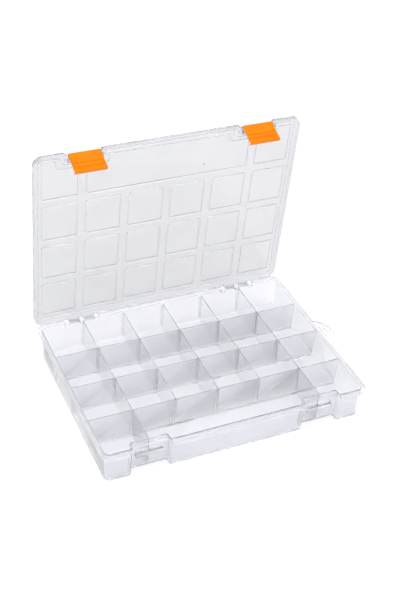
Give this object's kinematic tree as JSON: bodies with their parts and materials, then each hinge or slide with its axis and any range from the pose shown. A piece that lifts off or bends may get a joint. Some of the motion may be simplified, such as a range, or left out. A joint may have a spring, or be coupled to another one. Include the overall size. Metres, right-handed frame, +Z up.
{
  "type": "compartment_box",
  "caption": "Flat clear plastic organiser tray with compartments, lift-out dividers, a hinged embossed lid, two orange snap latches and a hang tab",
  "frame": {"origin": "centre of the underside of the tray", "axes": "+X along the hinge towards the hang tab, +Y from the latches to the hinge, +Z up out of the open tray"},
  "size_m": [0.376, 0.2805, 0.3097],
  "materials": {
    "clear_plastic": "translucent moulded polypropylene, semi-gloss",
    "latch_plastic": "bright orange moulded plastic, semi-gloss"
  },
  "bodies": {
    "tray": {"base_tray": "clear_plastic", "hang_tab": "clear_plastic", "long_wall_1": "clear_plastic", "long_wall_2": "clear_plastic", "long_wall_3": "clear_plastic", "cross_wall_left": "clear_plastic", "cross_wall_right": "clear_plastic"},
    "lid_body": {"lid": "clear_plastic"},
    "latch_left_body": {"latch_left": "latch_plastic"},
    "latch_right_body": {"latch_right": "latch_plastic"},
    "divider_r2_c1_body": {"divider_r2_c1": "clear_plastic"},
    "divider_r2_c2_body": {"divider_r2_c2": "clear_plastic"},
    "divider_r2_c3_body": {"divider_r2_c3": "clear_plastic"},
    "divider_r2_c4_body": {"divider_r2_c4": "clear_plastic"},
    "divider_r2_c5_body": {"divider_r2_c5": "clear_plastic"},
    "divider_r3_c1_body": {"divider_r3_c1": "clear_plastic"},
    "divider_r3_c2_body": {"divider_r3_c2": "clear_plastic"},
    "divider_r3_c3_body": {"divider_r3_c3": "clear_plastic"},
    "divider_r3_c4_body": {"divider_r3_c4": "clear_plastic"},
    "divider_r3_c5_body": {"divider_r3_c5": "clear_plastic"},
    "divider_r4_c1_body": {"divider_r4_c1": "clear_plastic"},
    "divider_r4_c2_body": {"divider_r4_c2": "clear_plastic"},
    "divider_r4_c3_body": {"divider_r4_c3": "clear_plastic"},
    "divider_r4_c4_body": {"divider_r4_c4": "clear_plastic"},
    "divider_r4_c5_body": {"divider_r4_c5": "clear_plastic"}
  },
  "joints": [
    {"name": "lid_hinge", "type": "hinge", "parent": "tray", "child": "lid_body", "pos_m": [0, 0.1345, 0.04], "axis": [-1, 0, 0], "range_deg": [-85, 95]},
    {"name": "latch_left_hinge", "type": "hinge", "parent": "lid_body", "child": "latch_left_body", "pos_m": [-0.11633, 0.10978, 0.30415], "axis": [-1, 0, 0], "range_deg": [-7, 65]},
    {"name": "latch_right_hinge", "type": "hinge", "parent": "lid_body", "child": "latch_right_body", "pos_m": [0.11633, 0.10978, 0.30415], "axis": [-1, 0, 0], "range_deg": [-7, 65]},
    {"name": "divider_r2_c1_slide", "type": "slide", "parent": "tray", "child": "divider_r2_c1_body", "axis": [0, 0, 1], "range_m": [0, 0.045]},
    {"name": "divider_r2_c2_slide", "type": "slide", "parent": "tray", "child": "divider_r2_c2_body", "axis": [0, 0, 1], "range_m": [0, 0.045]},
    {"name": "divider_r2_c3_slide", "type": "slide", "parent": "tray", "child": "divider_r2_c3_body", "axis": [0, 0, 1], "range_m": [0, 0.045]},
    {"name": "divider_r2_c4_slide", "type": "slide", "parent": "tray", "child": "divider_r2_c4_body", "axis": [0, 0, 1], "range_m": [0, 0.045]},
    {"name": "divider_r2_c5_slide", "type": "slide", "parent": "tray", "child": "divider_r2_c5_body", "axis": [0, 0, 1], "range_m": [0, 0.045]},
    {"name": "divider_r3_c1_slide", "type": "slide", "parent": "tray", "child": "divider_r3_c1_body", "axis": [0, 0, 1], "range_m": [0, 0.045]},
    {"name": "divider_r3_c2_slide", "type": "slide", "parent": "tray", "child": "divider_r3_c2_body", "axis": [0, 0, 1], "range_m": [0, 0.045]},
    {"name": "divider_r3_c3_slide", "type": "slide", "parent": "tray", "child": "divider_r3_c3_body", "axis": [0, 0, 1], "range_m": [0, 0.045]},
    {"name": "divider_r3_c4_slide", "type": "slide", "parent": "tray", "child": "divider_r3_c4_body", "axis": [0, 0, 1], "range_m": [0, 0.045]},
    {"name": "divider_r3_c5_slide", "type": "slide", "parent": "tray", "child": "divider_r3_c5_body", "axis": [0, 0, 1], "range_m": [0, 0.045]},
    {"name": "divider_r4_c1_slide", "type": "slide", "parent": "tray", "child": "divider_r4_c1_body", "axis": [0, 0, 1], "range_m": [0, 0.045]},
    {"name": "divider_r4_c2_slide", "type": "slide", "parent": "tray", "child": "divider_r4_c2_body", "axis": [0, 0, 1], "range_m": [0, 0.045]},
    {"name": "divider_r4_c3_slide", "type": "slide", "parent": "tray", "child": "divider_r4_c3_body", "axis": [0, 0, 1], "range_m": [0, 0.045]},
    {"name": "divider_r4_c4_slide", "type": "slide", "parent": "tray", "child": "divider_r4_c4_body", "axis": [0, 0, 1], "range_m": [0, 0.045]},
    {"name": "divider_r4_c5_slide", "type": "slide", "parent": "tray", "child": "divider_r4_c5_body", "axis": [0, 0, 1], "range_m": [0, 0.045]}
  ]
}
